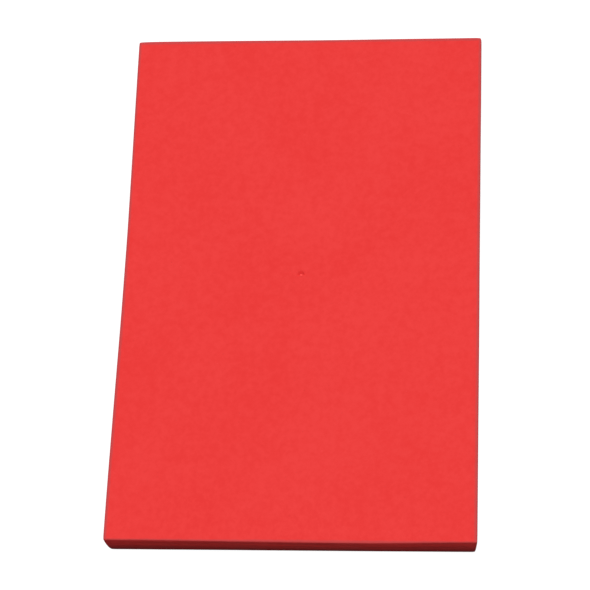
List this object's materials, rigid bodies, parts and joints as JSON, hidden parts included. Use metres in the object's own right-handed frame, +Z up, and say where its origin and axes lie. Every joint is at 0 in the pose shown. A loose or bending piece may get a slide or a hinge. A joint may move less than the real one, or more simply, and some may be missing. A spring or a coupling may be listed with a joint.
{
  "type": "detailing clay bar",
  "caption": "Flat rectangular slab of red kneadable polymer clay, rubbed over wet car paint to lift bonded grit.",
  "frame": {"origin": "centre of the underside, on the surface that the bar lies on", "axes": "+Y runs along the bar from its front end to its rear end, +X runs across it to the right, +Z is up out of the working face"},
  "size_m": [0.0974, 0.15, 0.0087],
  "materials": {
    "clay": "dull, slightly waxy red putty"
  },
  "bodies": {
    "root": {"clay_bar": "clay"}
  },
  "joints": []
}
